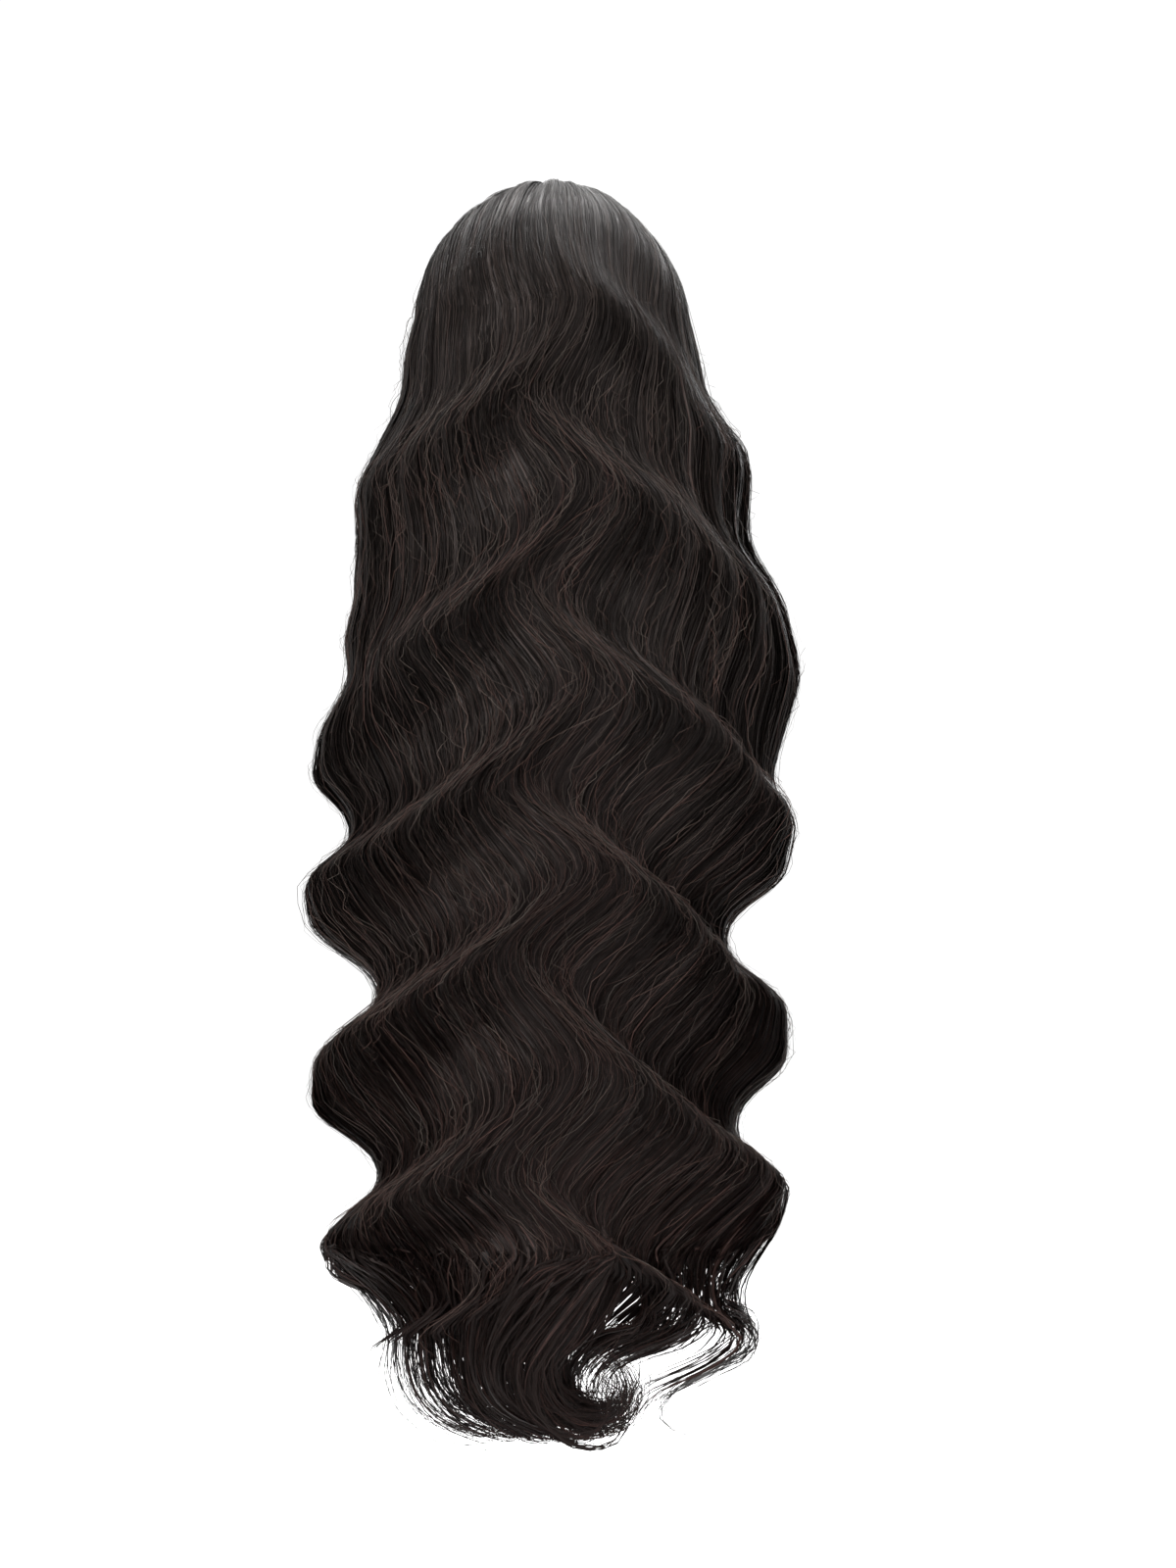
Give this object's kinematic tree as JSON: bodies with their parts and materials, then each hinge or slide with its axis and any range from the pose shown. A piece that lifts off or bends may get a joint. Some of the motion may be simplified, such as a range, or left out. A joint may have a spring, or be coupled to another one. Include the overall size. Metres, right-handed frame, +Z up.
{
  "type": "lace front wig",
  "caption": "Very long body-wave wig on a hollow mesh cap with a lace front, worn with its hair falling down the back.",
  "frame": {"origin": "the inside of the cap at the crown of the head, on the wearer's middle line", "axes": "+Z up, the wearer faces -Y, the wearer's left is +X"},
  "size_m": [0.328, 0.2104, 0.8487],
  "materials": {
    "cap_mesh": "dark brown knitted mesh with sewn wefts",
    "lace": "fine light brown lace net",
    "elastic": "dark brown woven elastic",
    "hair": "soft sheen on off-black brown hair"
  },
  "bodies": {
    "root": {"wig_cap": "cap_mesh", "lace_front": "lace", "nape_band": "elastic", "crown_hair_left": "hair", "crown_hair_right": "hair", "side_lock_left": "hair", "side_lock_right": "hair", "back_lock_1": "hair", "back_lock_2": "hair", "back_lock_3": "hair", "back_lock_4": "hair", "back_lock_5": "hair", "back_lock_6": "hair", "back_lock_7": "hair"}
  },
  "joints": []
}
